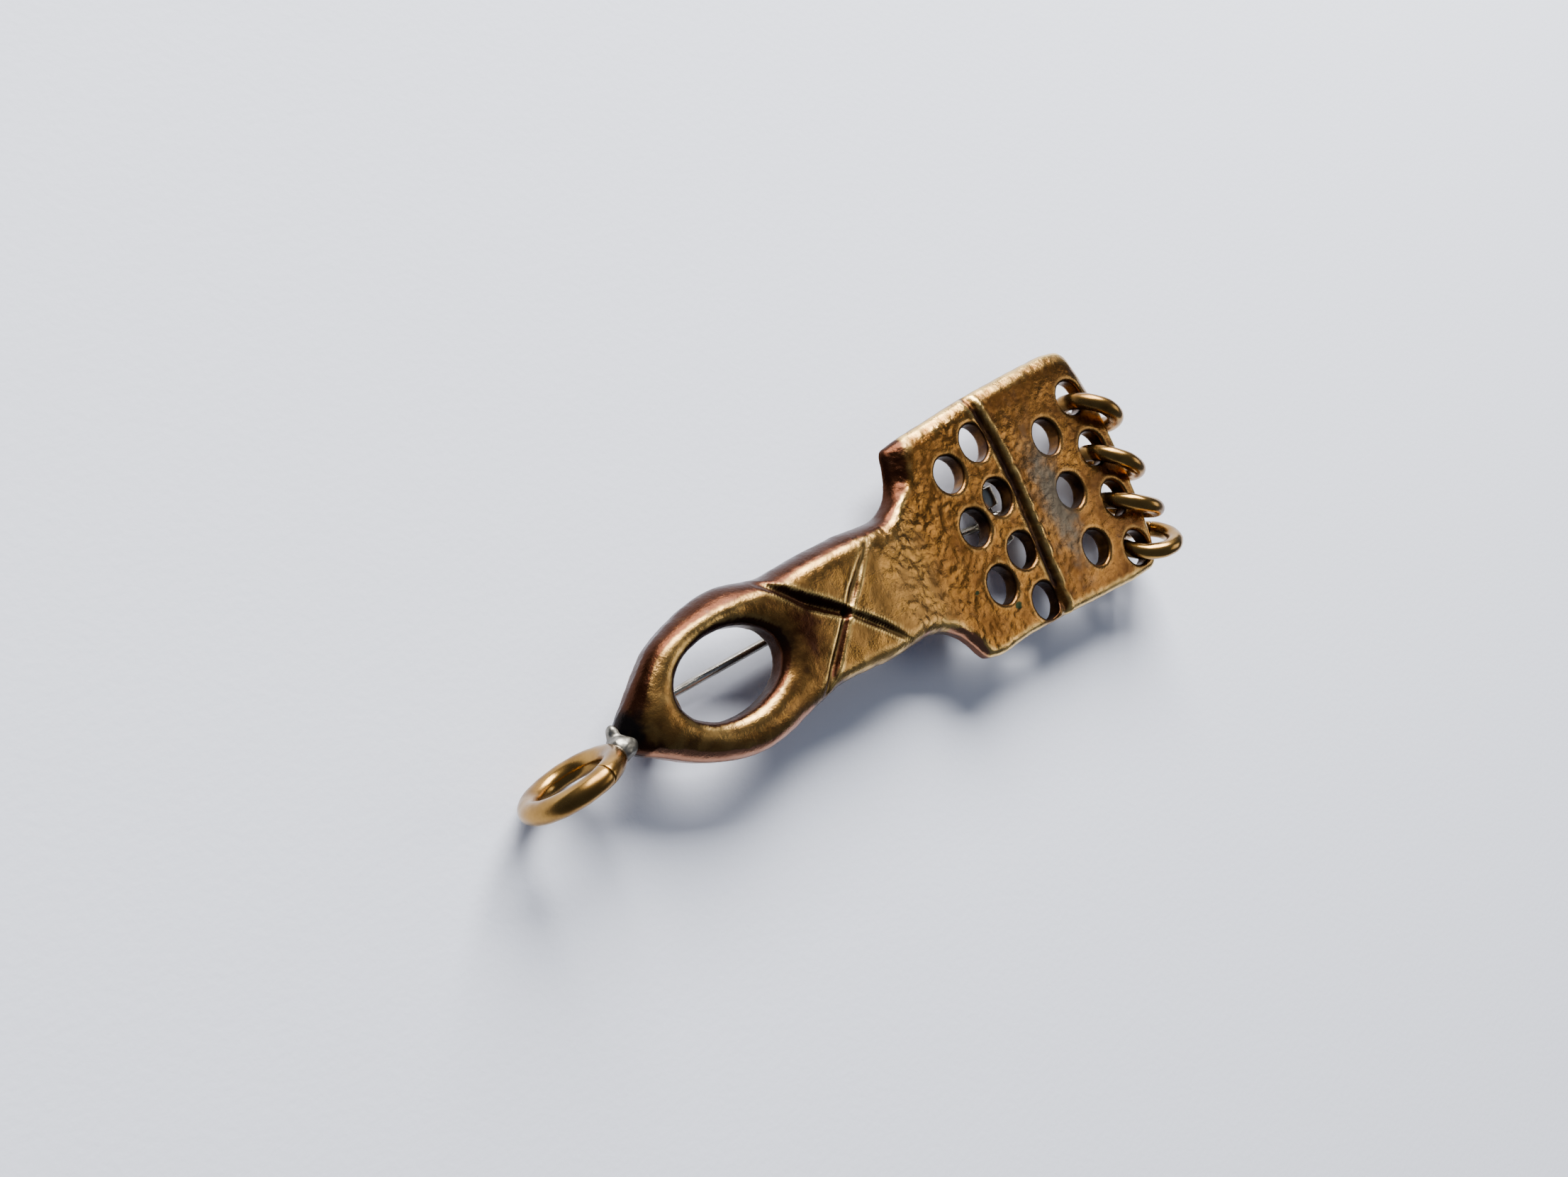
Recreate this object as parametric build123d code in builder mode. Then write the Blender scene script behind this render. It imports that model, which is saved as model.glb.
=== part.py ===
from build123d import *
import copy
import math
import os

# A cast bronze chain-holder brooch: an almond-shaped eye, a knot with crossed grooves and a fan
# pierced by four rows of holes. A ring for hanging is soldered to the tip, four open-jointed rings
# pass through the last row, and a steel pin turns in a soldered hinge on the back.
# Lengths are in millimetres. While the pieces are made, x runs from the hanging ring to the fan
# with x = 0 at the crossed grooves, y = 0 is the middle line and z = 0 is the fan's face.

os.makedirs("parts", exist_ok=True)

# --- the casting: lengths along x, half widths along y ---
tip_x = -24.6
tip_half = 1.6
cheek_x = -18.8
cheek_half = 5.1
almond_x = -12.2
almond_half = 6.9
waist_x = -3.8
waist_half = 5.6
neck_x = 8.0
neck_half = 5.9
ramp_x = 14.0                 # where the knot has run down to the fan's face
ramp_half = 5.0
shoulder_x = 13.3
flank_bulge = 0.25
end_x = 41.6
end_half = 12.5
shoulder_half = end_half - 1.8
end_bow = 0.8
plate_thickness = 1.8
almond_rise = 0.9
edge_round = 0.68

# --- the opening in the almond ---
eye_x = -13.3
eye_length = 11.2
eye_width = 7.0
eye_round = 0.8

# --- grooves ---
cross_ring_x = -5.6
cross_ring_y = 5.3
cross_fan_x = 5.4
cross_fan_y = 4.8
cross_width = 1.1
cross_depth = 0.75
fan_groove_share = 0.424      # how far along the fan it lies
fan_groove_width = 1.2
fan_groove_depth = 0.6

# --- rows of holes: place along x, number, spacing and sideways shift ---
# rows a to c lie at a share of the fan's length, and row d leaves a web before the fan's end;
# the spacing is a share of the fan's half width
hole_radius = 1.85
hole_round = 0.35
end_web = 1.75
fan_run = end_x - shoulder_x
hole_rows = {
    "a": {"x": shoulder_x + 0.1802 * fan_run, "count": 3, "spacing": 0.464 * end_half, "shift": 0.6},
    "b": {"x": shoulder_x + 0.3357 * fan_run, "count": 4, "spacing": 0.448 * end_half, "shift": -0.4},
    "c": {"x": shoulder_x + 0.6749 * fan_run, "count": 3, "spacing": 0.488 * end_half, "shift": -0.7},
    "d": {"x": end_x - end_web - hole_radius, "count": 4, "spacing": 0.448 * end_half, "shift": -0.7},
}

# --- the ring for hanging ---
hanging_wire = 1.85
hanging_radius = 3.65         # to the middle of the wire
hanging_lean = 5.0            # turned from upright about the brooch's length
hanging_yaw = 8.7
hanging_gap = 0.3             # between the tip and the wire, filled with solder
hanging_drop = 0.13           # the ring's middle below the tip's middle height
hanging_side = 1.3
solder_radius = 1.1
solder_reach = 0.6            # how far the solder laps over the wire

# --- the four chain rings ---
ring_wire = 1.7
ring_radius = 2.9             # to the middle of the wire
ring_height = -plate_thickness / 2 - 0.2   # the rings' middle, a little below the plate's
# how each ring is turned about z and leans, and how much of its play in the hole it is drawn out by
ring_turns = [
    {"yaw": -42.0, "lean": 5.0, "reach": 0.6},
    {"yaw": -42.0, "lean": 13.0, "reach": 0.65},
    {"yaw": -31.0, "lean": 14.0, "reach": 0.1},
    {"yaw": -2.0, "lean": 29.0, "reach": 0.05},
]

# --- the pin and its hinge ---
pin_y = 0.6
pin_wire = 0.8
pin_point_x = -22.9
pin_taper = 4.0
hinge_share = 0.3781          # how far along the fan it lies
rivet_radius = 0.45
eye_clearance = 0.05
eye_turns = 2
eye_gap_to_back = 0.2
knuckle_radius = 1.25
knuckle_length = 2.0
knuckle_gap = 0.1
rivet_head_radius = 0.85
rivet_head_height = 0.35

# --- the catch ---
catch_x = -19.0
catch_length = 2.8
catch_strip = 0.6
catch_room = 0.3              # between the pin and the hook's inside
catch_foot = 3.4
catch_bare = 1.3              # the part of the strip that reaches past the casting
lip_clearance = 0.1           # the lip stops this far short of the pin's path
solder_film = 0.15
solder_height = 0.9
point_radius = 0.05


def body_side():
    """Draws one long side of the casting, from the tip to where the fan's shoulder begins."""
    tip = Line((tip_x, 0), (tip_x, tip_half))
    return Spline(tip @ 1, (cheek_x, cheek_half), (almond_x, almond_half), (waist_x, waist_half),
                  (neck_x, neck_half), tangents=[(1, 1.3), (1, 0.1)])


def half_outline():
    """Draws one half of the casting's edge, from the tip to the middle of the fan's end."""
    side = body_side()
    shoulder = TangentArc(side @ 1, (shoulder_x, shoulder_half), tangent=side % 1)
    flank_middle = ((shoulder_x + end_x) / 2, (shoulder_half + end_half) / 2 + flank_bulge)
    flank = ThreePointArc(shoulder @ 1, flank_middle, (end_x - end_bow, end_half))
    quarter_bow = (end_x - end_bow / 4, end_half / 2)
    ThreePointArc(flank @ 1, quarter_bow, (end_x, 0))


def row_places(row):
    """Gives the y of each hole in a row, from the +y side to the -y side."""
    first = (row["count"] - 1) / 2 * row["spacing"] + row["shift"]
    return [first - i * row["spacing"] for i in range(row["count"])]


def groove_cut(start, end, width, depth, top):
    """Makes a V-shaped bar that cuts a groove between two points of a face at the given height."""
    along = Vector(end[0] - start[0], end[1] - start[1], 0)
    across = Vector(0, 0, 1).cross(along.normalized())
    plane = Plane(origin=(start[0], start[1], top), x_dir=across, z_dir=along.normalized())
    with BuildPart(plane) as bar:
        with BuildSketch(plane):
            with BuildLine():
                Polyline((-width / 2, 0), (0, -depth), (width / 2, 0), (width / 2, 2 * depth),
                         (-width / 2, 2 * depth), close=True)
            make_face()
        extrude(amount=along.length)
    return bar.part


# the almond and the knot stand higher than the fan, and run down to it in a ramp
with BuildPart() as raised_bar:
    with BuildSketch(Plane.XY.offset(-plate_thickness)):
        with BuildLine():
            bar_side = body_side()
            Polyline(bar_side @ 1, (ramp_x, ramp_half), (ramp_x, 0))
            mirror(about=Plane.XZ)
        make_face()
    extrude(amount=plate_thickness + almond_rise)
    bar_rim = raised_bar.faces().sort_by(Axis.Z)[-1].edges().sort_by(Axis.X)[:-1]
    fillet(bar_rim, radius=edge_round)
    with BuildSketch(Plane.XZ):
        with BuildLine():
            Polyline((cross_fan_x, almond_rise), (cross_fan_x, 2 * almond_rise),
                     (ramp_x + 1, 2 * almond_rise), (ramp_x + 1, -plate_thickness),
                     (ramp_x, -plate_thickness), (ramp_x - 1, 0), close=True)
        make_face()
    extrude(amount=almond_half, both=True, mode=Mode.SUBTRACT)

with BuildPart() as casting:
    with BuildSketch(Plane.XY.offset(-plate_thickness)):
        with BuildLine():
            half_outline()
            mirror(about=Plane.XZ)
        make_face()
    extrude(amount=plate_thickness)
    fillet(casting.faces().sort_by(Axis.Z)[-1].edges(), radius=edge_round)
    add(raised_bar.part)
    # the opening of the almond
    with BuildSketch(Plane.XY.offset(-plate_thickness)):
        with Locations((eye_x, 0)):
            Ellipse(eye_length / 2, eye_width / 2)
    extrude(amount=plate_thickness + almond_rise, mode=Mode.SUBTRACT)
    eye_rims = casting.edges().filter_by(GeomType.ELLIPSE)
    fillet(eye_rims.sort_by(Axis.Z)[-1], radius=eye_round)
    # the pierced rows
    for row in hole_rows.values():
        with BuildSketch(Plane.XY.offset(-plate_thickness)):
            with Locations(*[(row["x"], y) for y in row_places(row)]):
                Circle(hole_radius)
        extrude(amount=plate_thickness, mode=Mode.SUBTRACT)
    hole_rims = casting.edges().filter_by(GeomType.CIRCLE).filter_by(
        lambda rim: math.isclose(rim.radius, hole_radius))
    chamfer(hole_rims, length=hole_round)
    # the crossed grooves of the knot and the groove across the fan
    for side_y in (1, -1):
        add(groove_cut((cross_ring_x, side_y * cross_ring_y), (cross_fan_x, -side_y * cross_fan_y),
                       cross_width, cross_depth, almond_rise), mode=Mode.SUBTRACT)
    fan_groove_x = shoulder_x + fan_groove_share * fan_run
    add(groove_cut((fan_groove_x, -end_half), (fan_groove_x, end_half),
                   fan_groove_width, fan_groove_depth, 0), mode=Mode.SUBTRACT)
casting.part.label = "holder_plate"


def ring_plane(centre, yaw, lean):
    """The plane of a ring: upright and along x at no yaw and no lean."""
    yaw_rad, lean_rad = math.radians(yaw), math.radians(lean)
    level = math.cos(lean_rad)
    normal = (-math.sin(yaw_rad) * level, math.cos(yaw_rad) * level, math.sin(lean_rad))
    return Plane(origin=centre, z_dir=normal)


# --- the ring for hanging, and the solder that holds it to the tip ---
hanging_middle = (tip_x - hanging_gap - hanging_wire / 2 - hanging_radius, -hanging_side,
                  -plate_thickness / 2 - hanging_drop)
with BuildPart(ring_plane(hanging_middle, hanging_yaw, hanging_lean)) as hanging_ring:
    Torus(hanging_radius, hanging_wire / 2)
hanging_ring.part.label = "hanging_ring"

with BuildPart() as tip_solder:
    with BuildSketch(Plane.YZ.offset(tip_x)):
        with Locations((-hanging_side / 2, -plate_thickness / 2)):
            Circle(solder_radius)
    extrude(amount=-(hanging_gap + solder_reach))
    add(hanging_ring.part, mode=Mode.SUBTRACT)
tip_solder.part.label = "tip_solder"

# --- the chain rings: each passes through its hole and round the fan's end ---
chain_rings = []
ring_axes = []
end_row = hole_rows["d"]
for number, (hole_y, turn) in enumerate(zip(row_places(end_row), ring_turns), start=1):
    out_x = math.cos(math.radians(turn["yaw"]))
    out_y = math.sin(math.radians(turn["yaw"]))
    away = ring_radius + turn["reach"] * (hole_radius - ring_wire / 2)
    centre = (end_row["x"] + away * out_x, hole_y + away * out_y, ring_height)
    with BuildPart(ring_plane(centre, turn["yaw"], turn["lean"])) as ring:
        Torus(ring_radius, ring_wire / 2)
    ring.part.label = f"chain_ring_{number}"
    chain_rings.append(ring.part)
    ring_axes.append((centre, (out_x, out_y, 0)))

# --- the hinge: two tubes soldered to the back, with the pin's eye between them on a rivet ---
hinge_x = shoulder_x + hinge_share * fan_run
eye_outer = rivet_radius + eye_clearance + pin_wire
hinge_z = -plate_thickness - eye_gap_to_back - eye_outer
eye_half_width = eye_turns * pin_wire / 2
knuckle_start = eye_half_width + knuckle_gap
knuckle_end = knuckle_start + knuckle_length


def across_hinge(offset):
    """A plane square to the rivet, this far from the pin along y."""
    return Plane(origin=(hinge_x, pin_y + offset, hinge_z), x_dir=(1, 0, 0), z_dir=(0, 1, 0))


knuckles = []
for name, start in (("left", knuckle_start), ("right", -knuckle_end)):
    with BuildPart() as knuckle:
        with BuildSketch(across_hinge(start)):
            Circle(knuckle_radius)
            Circle(rivet_radius, mode=Mode.SUBTRACT)
        extrude(amount=knuckle_length)
    knuckle.part.label = f"hinge_knuckle_{name}"
    knuckles.append(knuckle.part)

with BuildPart() as hinge_solder:
    for start in (knuckle_start, -knuckle_end):
        with BuildSketch(across_hinge(start)):
            with Locations((0, -(plate_thickness + hinge_z) - solder_height / 2)):
                Rectangle(2 * knuckle_radius, solder_height)
            Circle(knuckle_radius, mode=Mode.SUBTRACT)
        extrude(amount=knuckle_length)
hinge_solder.part.label = "hinge_solder"

with BuildPart() as rivet:
    with BuildSketch(across_hinge(-knuckle_end)):
        Circle(rivet_radius)
    extrude(amount=2 * knuckle_end)
    for start in (-knuckle_end - rivet_head_height, knuckle_end):
        with BuildSketch(across_hinge(start)):
            Circle(rivet_head_radius)
        extrude(amount=rivet_head_height)
rivet.part.label = "hinge_rivet"

# --- the pin: a wire with a rolled eye at the hinge and a ground point ---
stem_z = hinge_z - (rivet_radius + eye_clearance + pin_wire / 2)
with BuildPart() as pin:
    with BuildSketch(across_hinge(-eye_half_width)):
        Circle(eye_outer)
        Circle(rivet_radius + eye_clearance, mode=Mode.SUBTRACT)
    extrude(amount=2 * eye_half_width)
    with BuildSketch(Plane(origin=(hinge_x, pin_y, stem_z), z_dir=(-1, 0, 0))):
        Circle(pin_wire / 2)
    extrude(amount=hinge_x - pin_point_x - pin_taper)
    with BuildSketch(Plane.XZ.offset(-pin_y)):
        with BuildLine():
            Polyline((pin_point_x, stem_z), (pin_point_x + pin_taper, stem_z),
                     (pin_point_x + pin_taper, stem_z + pin_wire / 2),
                     (pin_point_x, stem_z + point_radius), close=True)
        make_face()
    revolve(axis=Axis((0, pin_y, stem_z), (1, 0, 0)))
pin.part.label = "pin"

# --- the catch: a strip bent to a hook that the pin lies in, soldered behind the tip ---
hook_inner = pin_wire / 2 + catch_room
hook_outer = hook_inner + catch_strip
hook_y = pin_y - pin_wire / 2 - lip_clearance
foot_z = -plate_thickness - solder_film
with BuildPart() as catch:
    with BuildSketch(Plane.YZ.offset(catch_x - catch_length / 2)):
        with BuildLine():
            inner = CenterArc((hook_y, stem_z), hook_inner, 180, 90)
            outer = CenterArc((hook_y, stem_z), hook_outer, 180, 90)
            Line(inner @ 1, outer @ 1)
            Polyline(inner @ 0, (hook_y - hook_inner, foot_z - catch_strip),
                     (hook_y - hook_outer + catch_foot, foot_z - catch_strip),
                     (hook_y - hook_outer + catch_foot, foot_z),
                     (hook_y - hook_outer, foot_z), outer @ 0)
        make_face()
    extrude(amount=catch_length)
catch.part.label = "catch"

with BuildPart() as catch_solder:
    with BuildSketch(Plane.XY.offset(foot_z)):
        with Locations((catch_x - catch_bare / 2, hook_y - hook_outer + catch_foot / 2)):
            Rectangle(catch_length - catch_bare, catch_foot)
    extrude(amount=solder_film)
catch_solder.part.label = "catch_solder"

# --- the finished pieces stand on z = 0, with the origin under the middle of them all ---
pieces = [casting.part, hanging_ring.part, tip_solder.part, *chain_rings, *knuckles,
          hinge_solder.part, rivet.part, pin.part, catch.part, catch_solder.part]
box = Compound(children=[copy.copy(piece) for piece in pieces]).bounding_box()
home = Vector(-(box.min.X + box.max.X) / 2, -(box.min.Y + box.max.Y) / 2, -box.min.Z)
for piece in pieces:
    placed = piece.moved(Location(home))
    placed.label = piece.label
    export_step(placed, f"parts/{piece.label}.step")

print("size", box.size, "moved by", home)
print("pin axis at", Vector(hinge_x, pin_y, hinge_z) + home)
for number, (centre, direction) in enumerate(ring_axes, start=1):
    print(f"chain ring {number} turns about", direction, "at", Vector(*centre) + home)
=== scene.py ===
import math

import bmesh
import bpy
import numpy as np
from mathutils import Matrix, Vector, kdtree, noise


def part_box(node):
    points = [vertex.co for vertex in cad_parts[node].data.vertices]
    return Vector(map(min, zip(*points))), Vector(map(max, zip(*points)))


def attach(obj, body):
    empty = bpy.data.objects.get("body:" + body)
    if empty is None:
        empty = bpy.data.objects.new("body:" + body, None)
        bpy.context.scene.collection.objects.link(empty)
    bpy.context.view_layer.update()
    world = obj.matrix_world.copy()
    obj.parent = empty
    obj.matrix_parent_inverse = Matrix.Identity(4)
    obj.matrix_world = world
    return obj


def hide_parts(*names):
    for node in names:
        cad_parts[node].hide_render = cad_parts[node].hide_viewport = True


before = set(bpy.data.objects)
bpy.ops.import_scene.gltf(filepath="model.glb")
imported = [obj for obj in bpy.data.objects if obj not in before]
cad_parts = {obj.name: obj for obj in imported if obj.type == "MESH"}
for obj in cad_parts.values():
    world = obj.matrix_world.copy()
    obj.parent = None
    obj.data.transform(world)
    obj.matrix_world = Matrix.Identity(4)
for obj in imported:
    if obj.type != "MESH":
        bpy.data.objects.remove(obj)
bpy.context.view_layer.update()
print("frame loaded:", len(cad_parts), "nodes")

# Shapes are drawn in millimetres: x = 0 at the crossed grooves and runs to the fan, z = 0 on the fan's face
mm = 0.001
drawing = {"tipX": -24.6, "crestZ": 0.9, "backZ": -1.8}
plateLow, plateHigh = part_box("holder_plate")
home = Vector((plateLow.x - drawing["tipX"] * mm, 0.0, plateHigh.z - drawing["crestZ"] * mm))
toFrame = Matrix.Translation(home) @ Matrix.Scale(mm, 4)
toDrawing = toFrame.inverted()


def middleOf(node):
    # middle of a CAD node, in drawing millimetres
    low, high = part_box(node)
    return toDrawing @ ((low + high) / 2)


def place(piece, body, slot, material, *nodes):
    for face in piece.data.polygons:
        face.use_smooth = True
    piece.data.materials.clear()
    piece.data.materials.append(material)
    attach(piece, body)
    if nodes:
        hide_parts(*nodes)
    print("made", piece.name, len(piece.data.polygons), "faces")
    return piece


def finishMesh(bm, name):
    # closes doubles, turns the faces outwards and moves the drawing into the frame
    bmesh.ops.remove_doubles(bm, verts=bm.verts, dist=1e-4)
    bmesh.ops.recalc_face_normals(bm, faces=bm.faces)
    bmesh.ops.transform(bm, matrix=toFrame, verts=bm.verts)
    mesh = bpy.data.meshes.new(name)
    bm.to_mesh(mesh)
    bm.free()
    piece = bpy.data.objects.new(name, mesh)
    bpy.context.scene.collection.objects.link(piece)
    return piece


# Materials

def metalSkin():
    # mottled metal: clean and tarnished colour, hollows darkened with dirt and painted shade, rubbed edges
    # with painted highlight, roughness and a fine grain height
    group = bpy.data.node_groups.new("metalSkin", "ShaderNodeTree")
    sockets = (("Clean", "NodeSocketColor", (0.5, 0.3, 0.1, 1)),
               ("Tarnish", "NodeSocketColor", (0.2, 0.1, 0.04, 1)),
               ("Dirt And Shade Colour", "NodeSocketColor", (0.02, 0.012, 0.008, 1)),
               ("Wear And Sheen Colour", "NodeSocketColor", (0.9, 0.65, 0.3, 1)),
               ("DirtAndShade", "NodeSocketFloat", 0.0), ("WearAndSheen", "NodeSocketFloat", 0.0),
               ("Blotch Scale", "NodeSocketFloat", 400.0), ("Tarnish Level", "NodeSocketFloat", 0.5),
               ("Grain Scale", "NodeSocketFloat", 3000.0), ("Polished", "NodeSocketFloat", 0.25),
               ("Dull", "NodeSocketFloat", 0.45))
    for name, kind, value in sockets:
        socket = group.interface.new_socket(name, in_out="INPUT", socket_type=kind)
        socket.default_value = value
    results = (("Colour", "NodeSocketColor"), ("Roughness", "NodeSocketFloat"), ("Height", "NodeSocketFloat"))
    for name, kind in results:
        group.interface.new_socket(name, in_out="OUTPUT", socket_type=kind)
    nodes, links = group.nodes, group.links
    given, out = nodes.new("NodeGroupInput"), nodes.new("NodeGroupOutput")
    coords = nodes.new("ShaderNodeTexCoord")
    blotch = nodes.new("ShaderNodeTexNoise")
    blotch.inputs["Detail"].default_value = 6.0
    blotch.inputs["Roughness"].default_value = 0.6
    links.new(coords.outputs["Object"], blotch.inputs["Vector"])
    links.new(given.outputs["Blotch Scale"], blotch.inputs["Scale"])
    spread = nodes.new("ShaderNodeMapRange")
    spread.inputs["From Min"].default_value = 0.3
    spread.inputs["From Max"].default_value = 0.7
    spread.inputs["To Min"].default_value = -0.5
    spread.inputs["To Max"].default_value = 0.5
    links.new(blotch.outputs["Fac"], spread.inputs["Value"])
    level = nodes.new("ShaderNodeMath")
    level.operation = "ADD"
    level.use_clamp = True
    links.new(spread.outputs["Result"], level.inputs[0])
    links.new(given.outputs["Tarnish Level"], level.inputs[1])
    body = mixColour(nodes, links, level.outputs[0], given.outputs["Clean"], given.outputs["Tarnish"])
    # hollows get dirt and painted shade, unevenly
    uneven = nodes.new("ShaderNodeMapRange")
    uneven.inputs["From Min"].default_value = 0.25
    uneven.inputs["From Max"].default_value = 0.75
    uneven.inputs["To Min"].default_value = 0.6
    uneven.inputs["To Max"].default_value = 1.4
    links.new(blotch.outputs["Fac"], uneven.inputs["Value"])
    dirtShadeAmount = nodes.new("ShaderNodeMath")
    dirtShadeAmount.operation = "MULTIPLY"
    dirtShadeAmount.use_clamp = True
    links.new(uneven.outputs["Result"], dirtShadeAmount.inputs[0])
    links.new(given.outputs["DirtAndShade"], dirtShadeAmount.inputs[1])
    dirtShadeMixed = mixColour(nodes, links, dirtShadeAmount.outputs[0], body, given.outputs["Dirt And Shade Colour"])
    # edges take the rubbed colour: wear and painted highlight
    wearAndSheenMark = mixColour(nodes, links, given.outputs["WearAndSheen"], dirtShadeMixed, given.outputs["Wear And Sheen Colour"])
    links.new(wearAndSheenMark, out.inputs["Colour"])
    dullness = nodes.new("ShaderNodeMath")
    dullness.operation = "MAXIMUM"
    links.new(level.outputs[0], dullness.inputs[0])
    links.new(dirtShadeAmount.outputs[0], dullness.inputs[1])
    gloss = nodes.new("ShaderNodeMapRange")
    links.new(dullness.outputs[0], gloss.inputs["Value"])
    links.new(given.outputs["Polished"], gloss.inputs["To Min"])
    links.new(given.outputs["Dull"], gloss.inputs["To Max"])
    links.new(gloss.outputs["Result"], out.inputs["Roughness"])
    grain = nodes.new("ShaderNodeTexNoise")
    grain.inputs["Detail"].default_value = 4.0
    grain.inputs["Roughness"].default_value = 0.65
    links.new(coords.outputs["Object"], grain.inputs["Vector"])
    links.new(given.outputs["Grain Scale"], grain.inputs["Scale"])
    links.new(grain.outputs["Fac"], out.inputs["Height"])
    return group


def mixColour(nodes, links, factor, first, second):
    # the Mix node's colour sockets are numbers 6 and 7, and its colour comes out of number 2
    mix = nodes.new("ShaderNodeMix")
    mix.data_type = "RGBA"
    for socket, value in ((0, factor), (6, first), (7, second)):
        if isinstance(value, tuple):
            mix.inputs[socket].default_value = value
        else:
            links.new(value, mix.inputs[socket])
    return mix.outputs[2]


skinGroup = metalSkin()


def metal(name, values):
    # a bare metal made from the shared skin; a marked piece has its own attributes for dirt with painted
    # shade in the hollows, and wear with painted highlight on the edges
    material = bpy.data.materials.new(name)
    material.use_nodes = True
    nodes, links = material.node_tree.nodes, material.node_tree.links
    shader = nodes["Principled BSDF"]
    shader.inputs["Metallic"].default_value = 1.0
    skin = nodes.new("ShaderNodeGroup")
    skin.node_tree = skinGroup
    for key, value in values["skin"].items():
        skin.inputs[key].default_value = value
    if values.get("wearAndSheenMark"):
        for socket in ("DirtAndShade", "WearAndSheen"):
            attribute = nodes.new("ShaderNodeAttribute")
            attribute.attribute_name = socket.lower()
            links.new(attribute.outputs["Fac"], skin.inputs[socket])
    bump = nodes.new("ShaderNodeBump")
    bump.inputs["Strength"].default_value = values["bump"]
    bump.inputs["Distance"].default_value = values["grainDepth"] * mm
    links.new(skin.outputs["Height"], bump.inputs["Height"])
    links.new(bump.outputs["Normal"], shader.inputs["Normal"])
    links.new(skin.outputs["Colour"], shader.inputs["Base Color"])
    links.new(skin.outputs["Roughness"], shader.inputs["Roughness"])
    return material, skin, shader


bronzeLook = {
    # the hollow colour stands for dirt and painted shade, the rubbed colour for wear and painted highlight
    "skin": {"Clean": (0.31, 0.142, 0.032, 1), "Tarnish": (0.155, 0.062, 0.013, 1),
             "Dirt And Shade Colour": (0.022, 0.009, 0.005, 1), "Wear And Sheen Colour": (0.97, 0.66, 0.22, 1),
             "Blotch Scale": 330.0, "Tarnish Level": 0.5, "Grain Scale": 3000.0,
             "Polished": 0.15, "Dull": 0.36},
    "bump": 0.8, "grainDepth": 0.04, "wearAndSheenMark": True,
    "pebbleScale": 1500.0, "pebbleDepth": 0.06, "pebbleBlend": 0.6, "pebbleBend": 0.0006,
    # patina: how much of the mirror the thick oxides, and the painted shade on the red slopes, take away
    "patina": 0.08, "raggedScale": 900.0,
    "red": (0.040, 0.012, 0.004, 1), "copper": (0.34, 0.155, 0.085, 1), "soot": (0.012, 0.009, 0.008, 1),
    "grey": (0.10, 0.08, 0.055, 1), "green": (0.02, 0.03, 0.012, 1),
    # where a stain's mask starts and is full, for those that fade out and those with a clear edge
    "fading": (0.55, 1.4), "clear": (0.85, 1.1),
}
brassLook = {
    "skin": {"Clean": (0.42, 0.24, 0.065, 1), "Tarnish": (0.15, 0.075, 0.02, 1),
             "Dirt And Shade Colour": (0.05, 0.03, 0.015, 1), "Wear And Sheen Colour": (0.9, 0.7, 0.35, 1),
             "Blotch Scale": 320.0, "Tarnish Level": 0.5, "Grain Scale": 2200.0,
             "Polished": 0.16, "Dull": 0.34},
    "bump": 0.35, "grainDepth": 0.02,
}
catchLook = {
    "skin": {"Clean": (0.20, 0.12, 0.06, 1), "Tarnish": (0.07, 0.045, 0.03, 1), "Blotch Scale": 600.0,
             "Tarnish Level": 0.6, "Grain Scale": 2500.0, "Polished": 0.35, "Dull": 0.6},
    "bump": 0.6, "grainDepth": 0.03,
}
hingeLook = {
    "skin": {"Clean": (0.62, 0.60, 0.50, 1), "Tarnish": (0.30, 0.28, 0.20, 1), "Blotch Scale": 500.0,
             "Tarnish Level": 0.45, "Grain Scale": 3000.0, "Polished": 0.25, "Dull": 0.45},
    "bump": 0.3, "grainDepth": 0.02,
}
steelLook = {
    "skin": {"Clean": (0.52, 0.50, 0.45, 1), "Tarnish": (0.24, 0.22, 0.18, 1), "Blotch Scale": 700.0,
             "Tarnish Level": 0.4, "Grain Scale": 4000.0, "Polished": 0.20, "Dull": 0.38},
    "bump": 0.2, "grainDepth": 0.008,
}
solderLook = {
    "skin": {"Clean": (0.30, 0.285, 0.24, 1), "Tarnish": (0.06, 0.052, 0.045, 1), "Blotch Scale": 800.0,
             "Tarnish Level": 0.55, "Grain Scale": 2200.0, "Polished": 0.22, "Dull": 0.55},
    "bump": 0.5, "grainDepth": 0.05,
}
ringBrass = metal("ringBrass", brassLook)[0]
catchBronze = metal("catchBronze", catchLook)[0]
hingeNickel = metal("hingeNickel", hingeLook)[0]
pinSteel = metal("pinSteel", steelLook)[0]
solderGrey = metal("solderGrey", solderLook)[0]


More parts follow.
